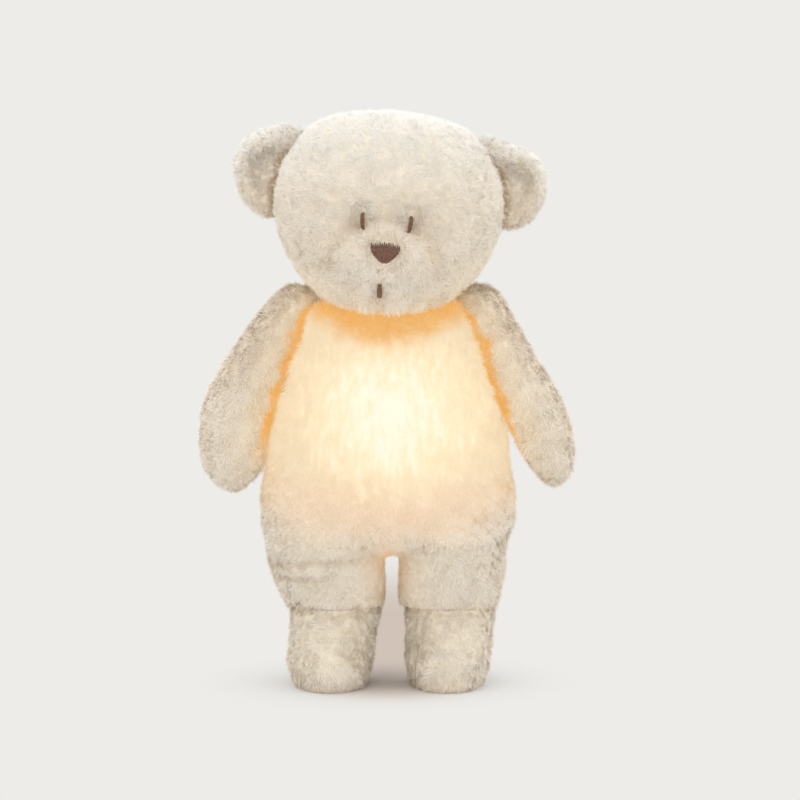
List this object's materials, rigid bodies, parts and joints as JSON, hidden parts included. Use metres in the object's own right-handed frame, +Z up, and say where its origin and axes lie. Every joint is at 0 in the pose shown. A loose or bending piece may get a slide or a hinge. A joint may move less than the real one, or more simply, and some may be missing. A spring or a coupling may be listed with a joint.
{
  "type": "plush night light",
  "caption": "Standing stuffed toy bear with stitched features, jointed head and arms, and a battery light unit in a pocket behind its belly.",
  "frame": {"origin": "on the surface that the bear stands on, under the middle of its box", "axes": "+Z up, the bear faces -Y, and its own left is +X"},
  "size_m": [0.2396, 0.1302, 0.3759],
  "materials": {
    "pile": "short curly cream pile, matt",
    "filling": "loose white polyester fibre",
    "thread": "dark brown satin-stitched embroidery thread",
    "lining": "plain woven cream lining",
    "tape": "cream hook and loop tape",
    "diffuser": "frosted, lets light through",
    "case": "fine moulded texture",
    "board": "green solder mask on glass laminate",
    "led": "warm white phosphor under clear resin",
    "battery": "blue shrink film",
    "wire_red": "red insulation",
    "wire_black": "black insulation",
    "switch": "black moulded",
    "button": "soft grey-beige cap",
    "metal": "nickel plated"
  },
  "bodies": {
    "trunk": {"trunk_skin": "pile", "trunk_filling": "filling", "pocket_lining": "lining", "flap_binding": "pile", "loop_tape": "tape", "left_leg": "pile", "left_leg_filling": "filling", "right_leg": "pile", "right_leg_filling": "filling", "left_foot": "pile", "left_foot_filling": "filling", "right_foot": "pile", "right_foot_filling": "filling"},
    "head": {"head_skin": "pile", "head_filling": "filling", "left_ear": "pile", "right_ear": "pile", "nose_stitching": "thread", "left_eye_stitch": "thread", "right_eye_stitch": "thread", "mouth_stitch": "thread"},
    "left_arm": {"left_arm": "pile", "left_arm_filling": "filling"},
    "right_arm": {"right_arm": "pile", "right_arm_filling": "filling"},
    "flap": {"back_flap": "pile", "hook_tape": "tape"},
    "light_unit": {"light_diffuser": "diffuser", "back_shell": "case", "main_board": "board", "led_1": "led", "led_2": "led", "led_3": "led", "led_4": "led", "led_5": "led", "battery": "battery", "red_lead": "wire_red", "black_lead": "wire_black", "button_board": "board", "power_switch": "switch", "brightness_switch": "switch", "charging_socket": "metal", "charge_lamp": "diffuser", "board_lead": "wire_black", "case_screw_1": "metal", "case_screw_2": "metal", "case_screw_3": "metal", "case_screw_4": "metal"},
    "power_button": {"power_button": "button"},
    "brightness_button": {"brightness_button": "button"}
  },
  "joints": [
    {"name": "head_turn", "type": "hinge", "parent": "trunk", "child": "head", "pos_m": [0, 0.00788, 0.25], "axis": [0, 0, 1], "range_deg": [-20, 20], "stiffness_Nm_per_rad": 0.25},
    {"name": "left_shoulder", "type": "hinge", "parent": "trunk", "child": "left_arm", "pos_m": [0.0552, 0.00788, 0.234], "axis": [-0.9588, 0, -0.284], "range_deg": [-35, 75], "stiffness_Nm_per_rad": 0.2},
    {"name": "right_shoulder", "type": "hinge", "parent": "trunk", "child": "right_arm", "pos_m": [-0.0552, 0.00788, 0.234], "axis": [-0.9588, 0, 0.284], "range_deg": [-35, 75], "stiffness_Nm_per_rad": 0.2},
    {"name": "flap_hinge", "type": "hinge", "parent": "trunk", "child": "flap", "pos_m": [0, 0.0557, 0.21998], "axis": [1, 0, 0], "range_deg": [0, 112]},
    {"name": "unit_slide", "type": "slide", "parent": "trunk", "child": "light_unit", "axis": [0, 1, 0], "range_m": [0, 0.096]},
    {"name": "power_press", "type": "slide", "parent": "light_unit", "child": "power_button", "axis": [0, -1, 0], "range_m": [0, 0.0005], "stiffness_N_per_m": 3000, "springref_m": -0.0001},
    {"name": "brightness_press", "type": "slide", "parent": "light_unit", "child": "brightness_button", "axis": [0, -1, 0], "range_m": [0, 0.0005], "stiffness_N_per_m": 3000, "springref_m": -0.0001}
  ],
  "couplings": [
    {"joint": "flap_hinge", "follows": "unit_slide", "rad_per_m": 20}
  ]
}
